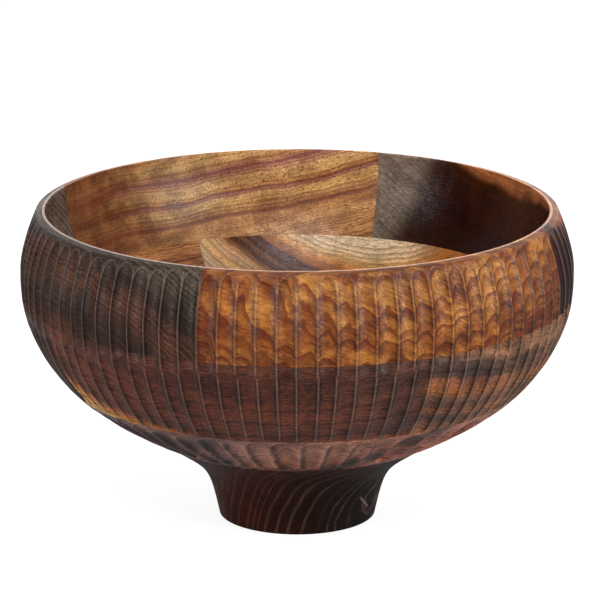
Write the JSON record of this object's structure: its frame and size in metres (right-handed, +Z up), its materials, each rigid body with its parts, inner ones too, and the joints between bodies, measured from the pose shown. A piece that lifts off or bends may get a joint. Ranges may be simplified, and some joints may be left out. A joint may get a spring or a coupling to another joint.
{
  "type": "wooden pedestal bowl",
  "caption": "Round wooden bowl glued up from contrasting blocks in three courses, gouge-fluted outside, smooth inside, on a flared turned foot.",
  "frame": {"origin": "centre of the foot's flat underside", "axes": "+Z up along the bowl's axis of turning; -Y is the side that faces the picture's camera"},
  "size_m": [0.2488, 0.249, 0.143],
  "materials": {
    "blackwood_foot": "oiled satin, blackish brown",
    "rosy_base": "oiled satin, rosy brown with dark patches",
    "slate_base": "oiled satin, dark grey brown",
    "russet_heartwood": "oiled satin, dark russet, level striations",
    "banded_brown": "oiled satin, mid brown with dark bands",
    "pale_banded": "oiled satin, tan and straw with dark stripes",
    "orange_brown": "oiled satin, warm reddish brown",
    "amber_curl": "oiled satin, golden orange with curl and dark veins",
    "umber_heartwood": "oiled satin, dark umber",
    "honey_streaked": "oiled satin, honey brown with purple brown streaks",
    "smoky_heartwood": "oiled satin, very dark grey brown"
  },
  "bodies": {
    "root": {"foot": "blackwood_foot", "base_block_front": "rosy_base", "base_block_right": "rosy_base", "base_block_back": "slate_base", "base_block_left": "slate_base", "middle_block_front": "russet_heartwood", "middle_block_right": "banded_brown", "middle_block_back": "pale_banded", "middle_block_left": "orange_brown", "upper_block_front": "amber_curl", "upper_block_right": "umber_heartwood", "upper_block_back": "honey_streaked", "upper_block_left": "smoky_heartwood"}
  },
  "joints": []
}
